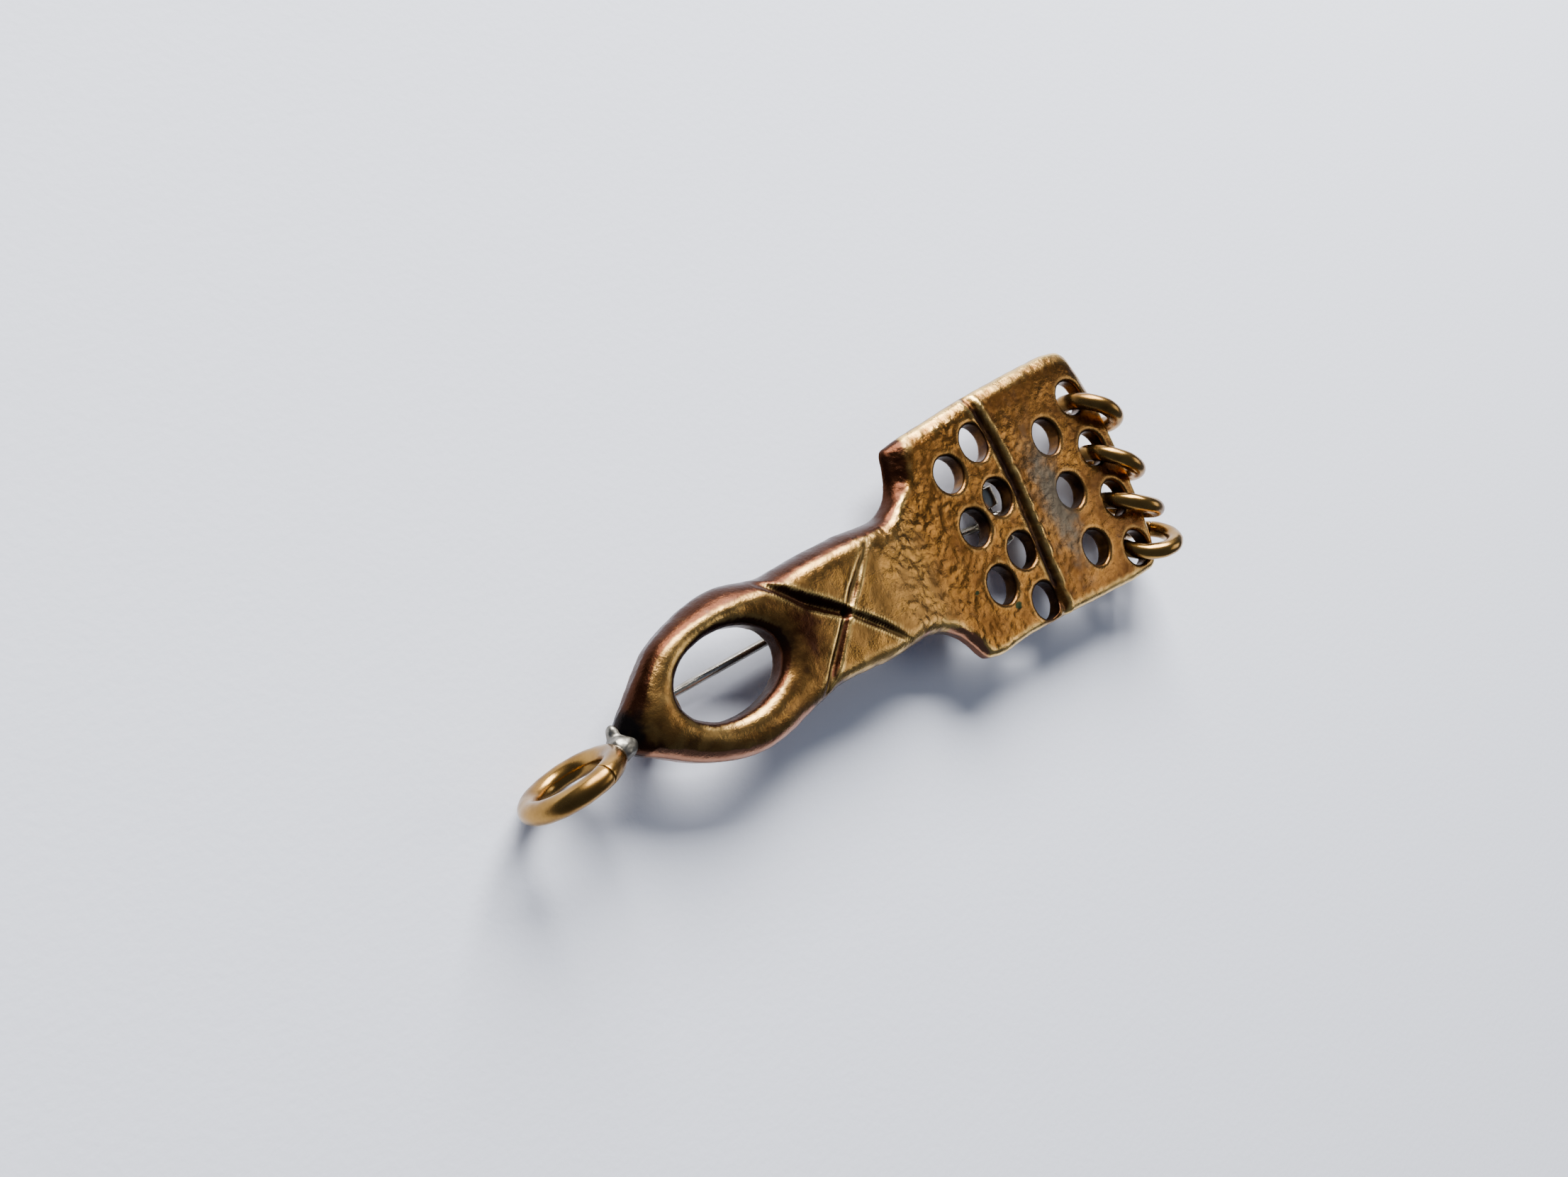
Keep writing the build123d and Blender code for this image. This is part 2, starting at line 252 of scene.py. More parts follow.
def bronze():
    # the casting's own stains, and the painted shade in the red mask, lie over the shared skin, each where
    # its attribute says
    material, skin, shader = metal("castBronze", bronzeLook)
    nodes, links = material.node_tree.nodes, material.node_tree.links
    coords = nodes.new("ShaderNodeTexCoord")
    ragged = nodes.new("ShaderNodeTexNoise")
    ragged.inputs["Scale"].default_value = bronzeLook["raggedScale"]
    ragged.inputs["Detail"].default_value = 6.0
    links.new(coords.outputs["Object"], ragged.inputs["Vector"])
    colour = skin.outputs["Colour"]
    masks = {}
    for stain in ("red", "grey", "copper", "green", "soot"):
        attribute = nodes.new("ShaderNodeAttribute")
        attribute.attribute_name = stain
        # the noise eats into the stain's edge
        total = nodes.new("ShaderNodeMath")
        total.operation = "ADD"
        links.new(attribute.outputs["Fac"], total.inputs[0])
        links.new(ragged.outputs["Fac"], total.inputs[1])
        mask = nodes.new("ShaderNodeMapRange")
        mask.interpolation_type = "SMOOTHSTEP"
        start, full = bronzeLook["fading" if stain in ("red", "grey", "soot") else "clear"]
        mask.inputs["From Min"].default_value = start
        mask.inputs["From Max"].default_value = full
        links.new(total.outputs[0], mask.inputs["Value"])
        masks[stain] = mask.outputs["Result"]
        colour = mixColour(nodes, links, masks[stain], colour, bronzeLook[stain])
    links.new(colour, shader.inputs["Base Color"])
    # oxide over the metal, with painted shade in the red: the red, grey and sooty skins are less of a mirror
    thickest = masks["red"]
    for stain in ("grey", "soot"):
        larger = nodes.new("ShaderNodeMath")
        larger.operation = "MAXIMUM"
        links.new(thickest, larger.inputs[0])
        links.new(masks[stain], larger.inputs[1])
        thickest = larger.outputs[0]
    bare = nodes.new("ShaderNodeMapRange")
    bare.inputs["To Min"].default_value = 1.0
    bare.inputs["To Max"].default_value = 1.0 - bronzeLook["patina"]
    links.new(thickest, bare.inputs["Value"])
    links.new(bare.outputs["Result"], shader.inputs["Metallic"])
    # the fan's pebbled skin, too fine for the mesh
    pebbles = nodes.new("ShaderNodeTexVoronoi")
    pebbles.feature = "SMOOTH_F1"
    pebbles.inputs["Scale"].default_value = bronzeLook["pebbleScale"]
    pebbles.inputs["Smoothness"].default_value = bronzeLook["pebbleBlend"]
    bend = nodes.new("ShaderNodeTexNoise")
    bend.inputs["Scale"].default_value = bronzeLook["raggedScale"]
    bent = nodes.new("ShaderNodeVectorMath")
    bent.operation = "MULTIPLY_ADD"
    bent.inputs[1].default_value = (bronzeLook["pebbleBend"],) * 3
    links.new(coords.outputs["Object"], bend.inputs["Vector"])
    links.new(bend.outputs["Color"], bent.inputs[0])
    links.new(coords.outputs["Object"], bent.inputs[2])
    links.new(bent.outputs[0], pebbles.inputs["Vector"])
    where = nodes.new("ShaderNodeAttribute")
    where.attribute_name = "pebbled"
    height = nodes.new("ShaderNodeMath")
    height.operation = "MULTIPLY"
    links.new(pebbles.outputs["Distance"], height.inputs[0])
    links.new(where.outputs["Fac"], height.inputs[1])
    dimples = nodes.new("ShaderNodeBump")
    dimples.invert = True
    dimples.inputs["Distance"].default_value = bronzeLook["pebbleDepth"] * mm
    links.new(height.outputs[0], dimples.inputs["Height"])
    grain = shader.inputs["Normal"].links[0].from_node
    links.new(dimples.outputs["Normal"], grain.inputs["Normal"])
    return material


castBronze = bronze()
print("materials ready")

# The casting

casting = {
    "outline": [
        (-24.7, 0.4), (-24.3, 0.9), (-22.6, 2.3), (-21.2, 3.5), (-20.0, 4.4), (-18.8, 5.2),
        (-16.6, 6.0), (-14.3, 6.6), (-12.6, 6.9), (-11.0, 6.95), (-9.6, 6.8), (-7.8, 6.35),
        (-6.4, 6.05), (-4.3, 6.1), (-1.5, 6.2), (1.2, 6.2), (3.8, 6.15), (6.2, 5.9),
        (8.0, 5.9), (9.4, 6.3), (10.4, 6.9), (11.3, 8.0), (12.0, 9.5), (12.6, 11.0),
        (13.4, 11.25), (18.5, 11.8), (24.2, 12.3), (29.9, 12.6), (34.5, 12.75), (38.4, 12.7),
        (40.1, 12.2), (41.0, 10.3), (41.5, 7.7), (41.75, 2.0), (41.7, -2.9), (41.3, -7.4),
        (40.5, -10.6), (39.7, -11.7), (38.2, -11.9), (31.9, -11.6), (25.1, -11.1), (19.7, -10.8),
        (13.9, -10.6), (13.2, -10.0), (12.5, -8.7), (11.4, -7.3), (10.0, -6.3), (8.3, -5.8),
        (6.0, -5.65), (3.5, -5.75), (0.0, -5.5), (-3.6, -5.3), (-5.4, -5.6), (-8.3, -6.2),
        (-10.2, -6.6), (-12.7, -6.8), (-14.9, -6.45), (-18.7, -5.0), (-22.0, -2.9), (-24.0, -1.5),
        (-24.6, -0.7)],
    "eye": {"x": -13.35, "y": 0.35, "length": 11.2, "width": 7.0},
    "holes": [(18.2, 6.4), (18.4, 0.8), (18.45, -5.2),
              (22.9, 8.0), (22.8, 2.35), (22.8, -3.3), (23.0, -8.75),
              (32.45, 5.3), (32.45, -0.6), (32.45, -6.85),
              (38.0, 7.7), (38.0, 2.1), (38.0, -3.5), (38.0, -9.1)],
    # uneven: how far a hole may be out of round, as a share of its radius
    "holeRadius": 1.82, "uneven": 0.1,
    "voxel": 0.2, "sample": 0.05,
    # the bend of the surface, in mm, that counts as a full hollow (dirt and painted shade) or a full crest
    # (wear and painted highlight)
    "fullBend": 0.012,
    # peak: how far along its line a groove is deepest
    "grooves": [
        {"line": [(-7.7, 6.0), (-3.9, 2.5), (-0.4, 0.0)],
         "width": 1.35, "depth": 1.0, "burr": 0.07, "peak": 0.6},
        {"line": [(-0.4, 0.0), (2.2, 2.3), (5.2, 4.8)],
         "width": 0.95, "depth": 0.42, "burr": 0.06, "peak": 0.3},
        {"line": [(-0.4, 0.0), (-3.1, -2.6), (-6.1, -5.4)],
         "width": 0.85, "depth": 0.75, "burr": 0.04, "peak": 0.6},
        {"line": [(-0.4, 0.0), (2.5, -2.5), (5.2, -5.4)],
         "width": 0.8, "depth": 0.55, "burr": 0.09, "peak": 0.4}],
    "fanGroove": {"line": [(24.7, 12.4), (25.5, 6.0), (25.6, 2.0), (25.3, -4.0), (24.9, -11.0)],
                  "width": 1.7, "depth": 0.42, "burr": 0.13},
}


def castingBlank():
    # a flat blank with the eye and the holes cut through, drawn as a filled curve
    curve = bpy.data.curves.new("blank", "CURVE")
    curve.dimensions = "2D"
    curve.fill_mode = "BOTH"
    curve.resolution_u = 6
    thickness = drawing["crestZ"] - drawing["backZ"]
    curve.extrude = thickness / 2

    def loop(points):
        spline = curve.splines.new("BEZIER")
        spline.bezier_points.add(len(points) - 1)
        for knot, (x, y) in zip(spline.bezier_points, points):
            knot.co = (x, y, 0)
            knot.handle_left_type = knot.handle_right_type = "AUTO"
        spline.use_cyclic_u = True

    def oval(x, y, across, along, count):
        turns = [2 * math.pi * i / count for i in range(count)]
        return [(x + across * math.cos(a), y + along * math.sin(a)) for a in turns]

    eye = casting["eye"]
    loop(casting["outline"])
    loop(oval(eye["x"], eye["y"], eye["length"] / 2, eye["width"] / 2, 16))
    for number, (x, y) in enumerate(casting["holes"]):
        # every hole is filed a little out of round
        radius = casting["holeRadius"]
        uneven = noise.noise(Vector((number * 3.7, 1.3, 0.0))) * casting["uneven"]
        loop(oval(x, y, radius * (1 + uneven * 0.5), radius * (1 - uneven * 0.5), 10))
    drawn = bpy.data.objects.new("blank", curve)
    bpy.context.scene.collection.objects.link(drawn)
    graph = bpy.context.evaluated_depsgraph_get()
    solid = bpy.data.meshes.new_from_object(drawn.evaluated_get(graph))
    # the bare loops, for measuring how far a point is from each edge
    curve.fill_mode, curve.extrude, curve.dimensions = "NONE", 0.0, "3D"
    graph.update()
    loops = bpy.data.meshes.new_from_object(drawn.evaluated_get(bpy.context.evaluated_depsgraph_get()))
    bpy.data.objects.remove(drawn)
    bm = bmesh.new()
    bm.from_mesh(solid)
    bmesh.ops.remove_doubles(bm, verts=bm.verts, dist=1e-4)
    bmesh.ops.recalc_face_normals(bm, faces=bm.faces)
    middle = (drawing["crestZ"] + drawing["backZ"]) / 2
    bmesh.ops.translate(bm, verts=bm.verts, vec=(0, 0, middle))
    bm.to_mesh(solid)
    bm.free()
    blank = bpy.data.objects.new("casting", solid)
    bpy.context.scene.collection.objects.link(blank)
    remesh = blank.modifiers.new("even mesh", "REMESH")
    remesh.mode = "VOXEL"
    remesh.voxel_size = casting["voxel"]
    graph = bpy.context.evaluated_depsgraph_get()
    even = bpy.data.meshes.new_from_object(blank.evaluated_get(graph))
    blank.modifiers.clear()
    blank.data = even
    return blank, loops


def nearTree(points):
    tree = kdtree.KDTree(len(points))
    for i, p in enumerate(points):
        tree.insert((p[0], p[1], 0.0), i)
    tree.balance()
    return tree


def denseLoops(loops):
    # splits every drawn loop finely, and sorts the samples into outline, eye and holes
    kinds = {"outline": [], "eye": [], "holes": []}
    eye = casting["eye"]
    nearEye, nearHole = 0.53, casting["holeRadius"] * 1.15
    points = [v.co.copy() for v in loops.vertices]
    for edge in loops.edges:
        a, b = points[edge.vertices[0]], points[edge.vertices[1]]
        middle = (a + b) / 2
        ex, ey = (middle.x - eye["x"]) / eye["length"], (middle.y - eye["y"]) / eye["width"]
        if math.hypot(ex, ey) < nearEye:
            kind = "eye"
        elif any(math.hypot(middle.x - x, middle.y - y) < nearHole for x, y in casting["holes"]):
            kind = "holes"
        else:
            kind = "outline"
        steps = max(1, int((a - b).length / casting["sample"]))
        kinds[kind].extend(a.lerp(b, i / steps) for i in range(steps))
    return {kind: nearTree(found) for kind, found in kinds.items()}


def ease(low, high, value):
    t = np.clip((value - low) / (high - low), 0, 1)
    return t * t * (3 - 2 * t)


def roll(distance, width, drop):
    # the fall of a rounded edge at this distance from it
    inward = np.clip(distance / width, 0, 1)
    return drop * (1 - np.sqrt(np.clip(1 - (1 - inward) ** 2, 0, 1)))


def bell(x, y, centre, size):
    return np.exp(-(((x - centre[0]) / size[0]) ** 2 + ((y - centre[1]) / size[1]) ** 2))


def lineDistance(x, y, line):
    # distance to a run of points, how far along it (0 to 1), and on which side
    best = np.full(len(x), 1e9)
    along, side = np.zeros(len(x)), np.zeros(len(x))
    lengths = [math.dist(a, b) for a, b in zip(line, line[1:])]
    done = 0.0
    for (ax, ay), (bx, by), length in zip(line, line[1:], lengths):
        dx, dy = (bx - ax) / length, (by - ay) / length
        t = np.clip((x - ax) * dx + (y - ay) * dy, 0, length)
        away = np.hypot(x - ax - t * dx, y - ay - t * dy)
        nearer = away < best
        best = np.where(nearer, away, best)
        along = np.where(nearer, (done + t) / sum(lengths), along)
        side = np.where(nearer, np.sign((x - ax) * dy - (y - ay) * dx), side)
        done += length
    return best, along, side


def sampleNoise(places, scale, seed):
    moved = ((p[0] * scale, p[1] * scale, p[2] * scale + seed) for p in places)
    return np.array([noise.noise(Vector(at)) for at in moved])


def shoulderEdge(y):
    # x of the left shoulder's outline at each y
    return np.interp(y, (5.9, 6.9, 8.0, 9.5, 11.0), (8.6, 10.4, 11.3, 12.0, 12.6))


def castingTop(x, y, outer, eye, holes):
    # height of the face over every point of the blank
    raised = drawing["crestZ"] * (1 - ease(4.5, 13.5, x))
    left = ease(-1.5, 1.5, y)
    almond = 1 - ease(-8.0, -4.5, x)
    knot = ease(-8.0, -4.5, x) * (1 - ease(8.0, 12.5, x))
    leftFlank = ease(13.0, 16.0, x) * ease(4.0, 9.0, y)
    rightShoulder = bell(x, y, (12.0, -8.4), (2.2, 2.6))
    width = 0.9 + 1.7 * almond + knot * (0.6 + 1.1 * left) + 1.0 * leftFlank
    width = width + 0.5 * rightShoulder
    drop = 0.75 + 0.75 * almond + knot * (0.45 + 0.5 * left) + 0.3 * leftFlank
    top = raised - roll(outer, width, drop)
    tipward = 1 - ease(-20.5, -17.5, x)
    top = top - almond * roll(eye, 1.7 + 0.9 * ease(-11.0, -7.5, x), 1.0 - 0.25 * tipward)
    # the almond falls away to the tip
    top = top - 0.75 * (1 - ease(-24.8, -19.8, x)) ** 1.5
    # the left shoulder is a broad bevel that faces the neck
    shoulder = shoulderEdge(y)
    top = top - 0.95 * (1 - ease(-0.3, 2.9, x - shoulder)) * ease(4.6, 8.2, y)
    top = top - roll(holes, 0.3, 0.2)
    # a fine line runs inside the rolled left edge
    top = top - 0.09 * leftFlank * np.exp(-((outer - 0.5) / 0.14) ** 2)
    for groove in casting["grooves"]:
        away, along = lineDistance(x, y, groove["line"])[:2]
        peak = groove["peak"]
        # the first groove runs in from the edge, and the others run out from the crossing
        if groove is casting["grooves"][0]:
            share = np.where(along < peak, along / peak, 1 - 0.35 * (along - peak) / (1 - peak))
        else:
            share = np.where(along < peak, 0.55 + 0.45 * along / peak, (1 - along) / (1 - peak))
        share = np.clip(share, 0, 1) ** 0.7
        half = groove["width"] / 2 * (0.35 + 0.65 * share)
        top = top - groove["depth"] * share * np.clip(1 - away / half, 0, 1)
        top = top + groove["burr"] * share * np.exp(-((away - half - 0.08) / 0.16) ** 2)
    cut = casting["fanGroove"]
    away, along, side = lineDistance(x, y, cut["line"])
    half = cut["width"] / 2
    hollowed = 0.5 + 0.5 * np.cos(np.pi * np.clip(away / half, 0, 1))
    top = top - cut["depth"] * hollowed * (1 - 0.35 * ease(0.85, 1.0, along))
    ragged = 0.6 + 0.8 * sampleNoise(np.stack([x, y, 0 * x], 1), 1.4, 11.0)
    lip = np.exp(-((away - half - 0.1) / 0.25) ** 2) * np.where(side < 0, 1.0, 0.3)
    return top + cut["burr"] * ragged * lip


def hammered(places, x, y):
    # how much of the pebbled and wavy cast texture stands at each point
    lumps = sampleNoise(places, 1.25, 3.1)
    coarse = sampleNoise(places, 0.55, 7.3)
    ripple = sampleNoise(places, 1.9, 21.0)
    onFan = ease(2.0, 8.0, x) * (1 - 0.45 * ease(26.0, 30.0, x))
    return 0.055 * onFan * lumps + 0.05 * coarse + 0.03 * ripple * (0.6 + 0.4 * onFan)


def curvature(mesh, co):
    # positive where the metal stands proud, negative in hollows
    count = len(co)
    edges = np.empty(len(mesh.edges) * 2, np.int32)
    mesh.edges.foreach_get("vertices", edges)
    edges = edges.reshape(-1, 2)
    normals = surfaceNormals(mesh)
    touching = np.bincount(edges.ravel(), minlength=count).clip(1)

    def average(values):
        total = np.zeros_like(values)
        np.add.at(total, edges[:, 0], values[edges[:, 1]])
        np.add.at(total, edges[:, 1], values[edges[:, 0]])
        return total / (touching[:, None] if values.ndim == 2 else touching)

    bend = ((co - average(co)) * normals).sum(1)
    for _ in range(3):
        bend = average(bend)
    return bend, average


def surfaceNormals(mesh):
    normals = np.empty(len(mesh.vertices) * 3, np.float32)
    mesh.vertex_normals.foreach_get("vector", normals)
    return normals.reshape(-1, 3)


def writeMask(mesh, name, values):
    attribute = mesh.attributes.new(name, "FLOAT", "POINT")
    attribute.data.foreach_set("value", np.clip(values, 0, 1).astype(np.float32))


def makeCasting():
    blank, loops = castingBlank()
    mesh = blank.data
    trees = denseLoops(loops)
    count = len(mesh.vertices)
    co = np.empty(count * 3, np.float32)
    mesh.vertices.foreach_get("co", co)
    co = co.reshape(-1, 3).astype(float)
    x, y, z = co[:, 0].copy(), co[:, 1].copy(), co[:, 2].copy()

    def distances(kind):
        return np.array([trees[kind].find((px, py, 0.0))[2] for px, py in zip(x, y)])

    outer, eye, holes = distances("outline"), distances("eye"), distances("holes")
    top = castingTop(x, y, outer, eye, holes)
    back, crest = drawing["backZ"], drawing["crestZ"]
    share = np.clip((z - back) / (crest - back), 0, 1)
    rough = hammered(co, x, y)
    nearWall = np.minimum(np.minimum(outer, eye), holes)
    under = roll(nearWall, 0.45, 0.3)
    co[:, 2] = back + under + share * (top + rough * ease(0.0, 0.5, nearWall) - back - under)
    # the walls wander a little, as filed by hand
    atWall = 1 - ease(0.0, 0.6, nearWall)
    wander = sampleNoise(co, 0.8, 40.0) * 0.05
    co[:, 0] += wander * atWall
    co[:, 1] += sampleNoise(co, 0.8, 50.0) * 0.05 * atWall
    mesh.vertices.foreach_set("co", co.astype(np.float32).ravel())
    mesh.update()
    bend, average = curvature(mesh, co)
    # one light pass of smoothing, which keeps the cut grooves
    co += 0.5 * (average(co) - co)
    mesh.vertices.foreach_set("co", co.astype(np.float32).ravel())
    mesh.update()
    bend = bend / casting["fullBend"]
    # concave spots are painted darker: dirt and painted shade
    dirtandshade = np.clip(-bend, 0, 1)
    # the grooves are painted dark: dirt and painted shade
    for groove in casting["grooves"] + [casting["fanGroove"]]:
        away = lineDistance(x, y, groove["line"])[0]
        dark = 0.62 if groove is casting["fanGroove"] else 1.0
        dirtandshade = np.maximum(dirtandshade, dark * ease(groove["width"] * 0.55, 0.0, away) * (z > back + 0.4))
    # the walls of the eye and the holes are painted dark: painted shade over unpolished metal
    wall = 1 - ease(0.05, 0.35, np.minimum(eye + 0.1, holes))
    dirtandshade = np.maximum(dirtandshade, 0.85 * wall)
    # dirt lies round the last row of holes and behind the groove
    lastRow = casting["holes"][10:]
    dirtandshade = np.maximum(dirtandshade, 0.7 * sum(bell(x, y, hole, (2.9, 2.9)) for hole in lastRow))
    # the back is painted dark: painted shade under the casting
    dirtandshade = np.where(z < back + 0.3, 0.55, dirtandshade)
    writeMask(mesh, "dirtandshade", dirtandshade)
    steep = 1 - np.abs(surfaceNormals(mesh)[:, 2])
    fan = ease(9.0, 13.0, x)
    level = ease(0.30, 0.02, steep) * ease(0.25, 0.75, outer)
    rims = 1 - 0.8 * ease(1.0, 0.3, holes)
    # proud edges, crests and flat tops away from the fan get the rubbed colour: wear and painted highlight
    wearAndSheenMark = np.clip(bend - 0.3, 0, 1) * 0.7 * rims + 0.1 * level * (1 - fan)
    writeMask(mesh, "wearandsheen", wearAndSheenMark * (z > -1.2) * (1 - wall))
    # red-brown patina on slopes, round the almond, by the knot and on the left shoulder; the extra red on the
    # slopes facing +y is painted shade
    sloping = ease(0.05, 0.30, steep) * (1 - fan) * (z > back + 0.3)
    writeMask(mesh, "red", 0.85 * sloping * ease(-3.0, 1.0, y + 0.12 * (x + 24)) + 0.45 * sloping
              + 0.35 * (1 - ease(-5.0, -2.0, x)) + 0.5 * bell(x, y, (-5.0, 0.5), (2.6, 3.0))
              + 1.1 * ease(3.2, 1.2, x - shoulderEdge(y)) * ease(5.2, 8.0, y) * ease(8.0, 11.0, x))
    writeMask(mesh, "copper", ease(-1.0, -3.0, y) * ease(1.1, 0.3, outer) * (
        ease(-25, -22, x) * (1 - ease(-9, -6, x)) + bell(x, y, (12.0, -8.5), (2.6, 3.0))
        + 0.4 * bell(x, y, (6.5, -5.5), (3.0, 2.0))))
    onFace = z > back + 0.6
    writeMask(mesh, "grey", 0.95 * bell(x, y, (29.8, -0.5), (2.3, 7.0)) * onFace)
    writeMask(mesh, "green", 0.8 * bell(x, y, (19.2, -7.6), (0.7, 0.45))
              + 0.7 * bell(x, y, (15.0, -4.6), (0.5, 0.3)))
    writeMask(mesh, "pebbled", ease(3.0, 8.0, x) * (1 - 0.5 * ease(26.0, 30.0, x)) * onFace
              * ease(0.3, 1.0, nearWall))
    writeMask(mesh, "soot", 0.95 * bell(x, y, (-23.9, 0.4), (1.6, 1.7))
              + 0.5 * bell(x, y, (-7.2, 0.6), (0.7, 1.6)))
    mesh.transform(toFrame)
    return place(blank, "holder", "cast_bronze", castBronze, "holder_plate")


makeCasting()

# Rings of wire

rings = {
    # wire and radius in mm; yaw, lean and the place of the joint round the ring in degrees
    "hanging_ring": {"body": "holder", "wire": 1.85, "radius": 3.65, "yaw": 8.7, "lean": 5.0, "joint": -75.0},
    "chain_ring_1": {"body": "chain_ring_1", "wire": 1.7, "radius": 2.9,
                     "yaw": -42.0, "lean": 5.0, "joint": 80.0},
    "chain_ring_2": {"body": "chain_ring_2", "wire": 1.7, "radius": 2.9,
                     "yaw": -42.0, "lean": 13.0, "joint": 80.0},
    "chain_ring_3": {"body": "chain_ring_3", "wire": 1.7, "radius": 2.9,
                     "yaw": -31.0, "lean": 14.0, "joint": 60.0},
    "chain_ring_4": {"body": "chain_ring_4", "wire": 1.7, "radius": 2.9,
                     "yaw": -2.0, "lean": 29.0, "joint": 25.0},
}
ringWire = {"gap": 0.05, "steps": 120, "sides": 32, "bevel": 0.07, "uneven": 0.03, "unevenScale": 0.9}


def makeRing(name):
    ring = rings[name]
    bm = bmesh.new()
    bmesh.ops.create_circle(bm, cap_ends=False, segments=ringWire["sides"], radius=ring["wire"] / 2)
    bmesh.ops.rotate(bm, verts=bm.verts, cent=(0, 0, 0), matrix=Matrix.Rotation(math.pi / 2, 3, "X"))
    bmesh.ops.translate(bm, verts=bm.verts, vec=(ring["radius"], 0, 0))
    gap = ringWire["gap"] / ring["radius"]
    bmesh.ops.rotate(bm, verts=bm.verts, cent=(0, 0, 0), matrix=Matrix.Rotation(gap / 2, 3, "Z"))
    bmesh.ops.spin(bm, geom=bm.verts[:] + bm.edges[:], cent=(0, 0, 0), axis=(0, 0, 1), dvec=(0, 0, 0),
                   angle=2 * math.pi - gap, steps=ringWire["steps"], use_merge=False)
    bmesh.ops.recalc_face_normals(bm, faces=bm.faces)
    ends = [e for e in bm.edges if e.is_boundary]
    caps = bmesh.ops.holes_fill(bm, edges=ends, sides=0)["faces"]
    rims = list({e for f in caps for e in f.edges})
    bmesh.ops.bevel(bm, geom=rims, offset=ringWire["bevel"], offset_type="OFFSET", segments=2, profile=0.5,
                    affect="EDGES", material=-1)
    # wire bent and closed with pliers is never quite even
    seed, scale = ring["radius"] * 7 + ring["yaw"], ringWire["unevenScale"]
    for v in bm.verts:
        at = Vector((v.co.x * scale + seed, v.co.y * scale, v.co.z * scale))
        v.co += v.normal * noise.noise(at) * ringWire["uneven"]
    yaw, lean = math.radians(ring["yaw"]), math.radians(ring["lean"])
    out = Vector((math.cos(yaw), math.sin(yaw), 0))
    normal = Vector((-math.sin(yaw) * math.cos(lean), math.cos(yaw) * math.cos(lean), math.sin(lean)))
    turn = Matrix((out, normal.cross(out), normal)).transposed().to_4x4()
    turn = Matrix.Translation(middleOf(name)) @ turn @ Matrix.Rotation(math.radians(ring["joint"]), 4, "Z")
    bmesh.ops.transform(bm, matrix=turn, verts=bm.verts)
    piece = finishMesh(bm, name + "_wire")
    return place(piece, ring["body"], "ring_brass", ringBrass, name)


for ringName in rings:
    makeRing(ringName)

# Pin, hinge and catch

pinShape = {
    "wire": 0.8, "y": 0.6, "coilRadius": 0.9, "turns": 1.1, "pitch": 0.73, "pointX": -22.8, "taper": 4.5,
    "sides": 20, "coilSteps": 60,
    # the stem is back on the pin's line this far from the coil, and the point keeps this share of the wire
    "settle": 6.0, "blunt": 0.12,
    # sections of the stem, measured from the coil and back from the point
    "fromCoil": (1.0, 2.5, 4.5, 7.0, 12.0, 20.0, 30.0), "fromPoint": (4.5, 3.0, 1.6, 0.7, 0.15),
}
hingeMiddle = middleOf("hinge_rivet")


def makePin():
    # one and a bit turns of wire round the rivet, then straight to a ground point
    bm = bmesh.new()
    turns, pitch, taper = pinShape["turns"], pinShape["pitch"], pinShape["taper"]
    bmesh.ops.create_circle(bm, cap_ends=False, segments=pinShape["sides"], radius=pinShape["wire"] / 2)
    bmesh.ops.rotate(bm, verts=bm.verts, cent=(0, 0, 0), matrix=Matrix.Rotation(math.pi / 2, 3, "Y"))
    coilStart = hingeMiddle.y - pitch * turns / 2
    start = Vector((hingeMiddle.x, coilStart, hingeMiddle.z - pinShape["coilRadius"]))
    bmesh.ops.translate(bm, verts=bm.verts, vec=start)
    first = bm.edges[:]
    steps = pinShape["coilSteps"]
    bmesh.ops.spin(bm, geom=bm.verts[:] + first, cent=hingeMiddle, axis=(0, -1, 0),
                   dvec=(0, pitch * turns / steps, 0), angle=2 * math.pi * turns, steps=steps,
                   use_merge=False)
    # the stem leaves the coil's first section
    reach = start.x - pinShape["pointX"]
    stations = list(pinShape["fromCoil"]) + [reach - back for back in pinShape["fromPoint"]]

    def settled(distance):
        share = min(1.0, distance / pinShape["settle"])
        return share * share * (3 - 2 * share)

    def thinned(distance):
        return max(pinShape["blunt"], min(1.0, (reach - distance) / taper) ** 0.75)

    edges = [e for e in first if e.is_valid]
    at = 0.0
    for station in stations:
        grown = bmesh.ops.extrude_edge_only(bm, edges=edges)["geom"]
        verts = [g for g in grown if isinstance(g, bmesh.types.BMVert)]
        edges = [g for g in grown if isinstance(g, bmesh.types.BMEdge) and
                 all(v in verts for v in g.verts)]
        side = (pinShape["y"] - coilStart) * (settled(station) - settled(at))
        bmesh.ops.translate(bm, verts=verts, vec=(at - station, side, 0))
        if station > reach - taper:
            middle = sum((v.co for v in verts), Vector()) / len(verts)
            thin = thinned(station) / thinned(at)
            bmesh.ops.scale(bm, verts=verts, vec=(1, thin, thin), space=Matrix.Translation(-middle))
        at = station
    bmesh.ops.holes_fill(bm, edges=[e for e in bm.edges if e.is_boundary], sides=0)
    piece = finishMesh(bm, "pin_wire")
    return place(piece, "pin", "pin_steel", pinSteel, "pin")


makePin()

hinge = {"tubeRadius": 1.25, "bore": 0.5, "bevel": 0.12, "boreBevel": 0.05,
         "headRise": 0.35, "headRadius": 0.85, "rivetRadius": 0.45, "steps": 48}


def turned(name, profile, middle, closed=True):
    # turns a profile of (radius, distance along the rivet) round the hinge's line
    bm = bmesh.new()
    verts = [bm.verts.new((middle.x + r, middle.y + a, middle.z)) for r, a in profile]
    pairs = list(zip(verts, verts[1:])) + ([(verts[-1], verts[0])] if closed else [])
    edges = [bm.edges.new(pair) for pair in pairs]
    bmesh.ops.spin(bm, geom=verts + edges, cent=middle, axis=(0, 1, 0), dvec=(0, 0, 0), angle=2 * math.pi,
                   steps=hinge["steps"], use_merge=True)
    return finishMesh(bm, name)


